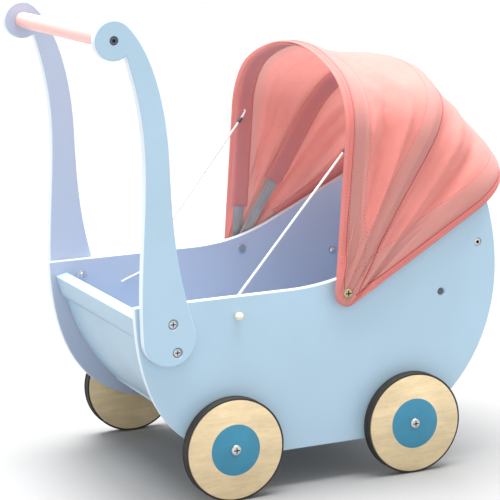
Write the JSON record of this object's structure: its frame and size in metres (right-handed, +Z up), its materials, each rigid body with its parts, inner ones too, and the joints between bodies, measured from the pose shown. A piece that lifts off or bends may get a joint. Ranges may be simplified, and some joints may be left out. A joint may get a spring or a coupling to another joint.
{
  "type": "doll pram",
  "caption": "Wooden doll pram with a low open cradle on disc wheels, a curved push handle and a folding cloth hood held open by elastic cords.",
  "frame": {"origin": "centre of the pram's box at the ground", "axes": "+X towards the hood end, +Y to the pram's left, +Z up; the push handle is at the -X end"},
  "size_m": [0.524, 0.3314, 0.525],
  "materials": {
    "blue_paint": "pale blue satin paint over birch plywood, lighter along rounded edges",
    "pink_rod": "pale pink satin paint on a turned rod",
    "birch_wheel": "clear-coated birch plywood with a teal painted centre",
    "tyre": "thin dark rubber band",
    "steel": "zinc-plated steel",
    "dark_steel": "dark zinc-plated steel",
    "brass_screw": "brass-plated, worn",
    "nylon": "white nylon",
    "bow_strip": "grey coated spring strip",
    "hood_cloth": "coral pink plain-weave cotton, slightly see-through, with stitched sleeves and hems",
    "elastic": "white braided elastic cord",
    "bead": "cream lacquered bead"
  },
  "bodies": {
    "root": {"floor_board": "blue_paint", "foot_liner": "blue_paint", "foot_rail": "blue_paint", "handle_bar": "pink_rod", "head_liner": "blue_paint", "head_rail": "blue_paint", "hood_canopy": "hood_cloth", "left_bar_bolt": "dark_steel", "left_cord_bead": "bead", "left_elastic_cord": "elastic", "left_foot_axle_bolt": "steel", "left_foot_axle_nut": "steel", "left_foot_wheel_spacer": "nylon", "left_handle_side": "blue_paint", "left_head_axle_bolt": "steel", "left_head_axle_nut": "steel", "left_head_rail_bolt": "dark_steel", "left_head_wheel_spacer": "nylon", "left_lower_handle_bolt": "steel", "left_lower_handle_nut": "steel", "left_pivot_screw": "brass_screw", "left_pivot_sleeve_nut": "steel", "left_pivot_washer": "nylon", "left_side_panel": "blue_paint", "left_stud_bolt": "dark_steel", "left_stud_cap_nut": "steel", "left_upper_handle_bolt": "steel", "left_upper_handle_nut": "steel", "rear_bow": "bow_strip", "right_bar_bolt": "dark_steel", "right_cord_bead": "bead", "right_elastic_cord": "elastic", "right_foot_axle_bolt": "steel", "right_foot_axle_nut": "steel", "right_foot_wheel_spacer": "nylon", "right_handle_side": "blue_paint", "right_head_axle_bolt": "steel", "right_head_axle_nut": "steel", "right_head_rail_bolt": "dark_steel", "right_head_wheel_spacer": "nylon", "right_lower_handle_bolt": "steel", "right_lower_handle_nut": "steel", "right_pivot_screw": "brass_screw", "right_pivot_sleeve_nut": "steel", "right_pivot_washer": "nylon", "right_side_panel": "blue_paint", "right_stud_bolt": "dark_steel", "right_stud_cap_nut": "steel", "right_upper_handle_bolt": "steel", "right_upper_handle_nut": "steel"},
    "right_foot_wheel_body": {"right_foot_wheel": "birch_wheel", "right_foot_tyre": "tyre"},
    "left_foot_wheel_body": {"left_foot_wheel": "birch_wheel", "left_foot_tyre": "tyre"},
    "right_head_wheel_body": {"right_head_wheel": "birch_wheel", "right_head_tyre": "tyre"},
    "left_head_wheel_body": {"left_head_wheel": "birch_wheel", "left_head_tyre": "tyre"},
    "front_bow_body": {"front_bow": "bow_strip"},
    "mid_bow_body": {"mid_bow": "bow_strip"}
  },
  "joints": [
    {"name": "right_foot_wheel_spin", "type": "hinge", "parent": "root", "child": "right_foot_wheel_body", "pos_m": [-0.12102, 0, 0.0572], "axis": [0, 1, 0], "continuous": true},
    {"name": "left_foot_wheel_spin", "type": "hinge", "parent": "root", "child": "left_foot_wheel_body", "pos_m": [-0.12102, 0, 0.0572], "axis": [0, 1, 0], "continuous": true},
    {"name": "right_head_wheel_spin", "type": "hinge", "parent": "root", "child": "right_head_wheel_body", "pos_m": [0.09698, 0, 0.0572], "axis": [0, 1, 0], "continuous": true},
    {"name": "left_head_wheel_spin", "type": "hinge", "parent": "root", "child": "left_head_wheel_body", "pos_m": [0.09698, 0, 0.0572], "axis": [0, 1, 0], "continuous": true},
    {"name": "hood_fold", "type": "hinge", "parent": "root", "child": "front_bow_body", "pos_m": [0.02048, 0, 0.2125], "axis": [0, 1, 0], "range_deg": [0, 45], "deforming": ["hood_canopy", "right_elastic_cord", "left_elastic_cord"]},
    {"name": "mid_bow_fold", "type": "hinge", "parent": "root", "child": "mid_bow_body", "pos_m": [0.02048, 0, 0.2125], "axis": [0, 1, 0], "range_deg": [0, 22.5], "deforming": ["hood_canopy"]}
  ],
  "couplings": [
    {"joint": "mid_bow_fold", "follows": "hood_fold", "ratio": 0.5}
  ]
}
